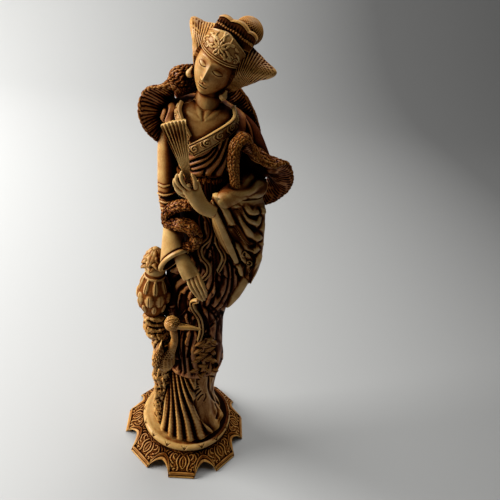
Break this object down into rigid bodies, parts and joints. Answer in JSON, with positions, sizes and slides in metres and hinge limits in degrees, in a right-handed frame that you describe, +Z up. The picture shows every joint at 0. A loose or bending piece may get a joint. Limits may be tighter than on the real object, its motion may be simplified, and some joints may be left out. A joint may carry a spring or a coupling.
{
  "type": "figurine",
  "caption": "Antiqued ivory-coloured resin figurine of a standing robed lady with a fan, a vase and a bird on a scalloped footed base.",
  "frame": {"origin": "centre of the underside, on the plane of the feet", "axes": "+Z up along the figure; -Y is the figure's front; +X is its left side, to the viewer's right"},
  "size_m": [0.0896, 0.0896, 0.3005],
  "materials": {
    "resin_ivory": "cast resin, ivory colour, stain rubbed off the high parts, waxy satin",
    "resin_amber": "cast resin, ivory colour under a mid-brown antique stain, satin",
    "resin_walnut": "cast resin under a dark brown antique stain, satin",
    "felt": "dark green pressed felt"
  },
  "bodies": {
    "root": {"base_foot": "resin_amber", "felt_pad": "felt", "plinth": "resin_ivory", "head": "resin_ivory", "brow_plate": "resin_ivory", "comb": "resin_amber", "bun": "resin_amber", "earring_right": "resin_ivory", "earring_left": "resin_ivory", "hair": "resin_amber", "robe": "resin_walnut", "underskirt": "resin_amber", "sash": "resin_walnut", "chest": "resin_ivory", "bodice": "resin_walnut", "fan": "resin_ivory", "fan_hand": "resin_ivory", "hanging_hand": "resin_ivory", "bell_cuff": "resin_ivory", "upper_sleeve": "resin_ivory", "shoulder_sleeve": "resin_walnut", "hanging_sleeve": "resin_ivory", "bird_tail": "resin_amber", "rock": "resin_amber", "vase": "resin_ivory", "vase_lid": "resin_ivory", "bird": "resin_amber", "bird_wing": "resin_amber", "lapel_left": "resin_ivory", "lapel_right": "resin_ivory", "stole_back": "resin_walnut", "stole_right_loop": "resin_walnut", "stole_left_loop": "resin_walnut", "stole_wrist_loop": "resin_walnut", "ribbon_long": "resin_ivory", "ribbon_short": "resin_ivory", "ribbon_held": "resin_ivory", "leaf_spray": "resin_walnut"}
  },
  "joints": []
}
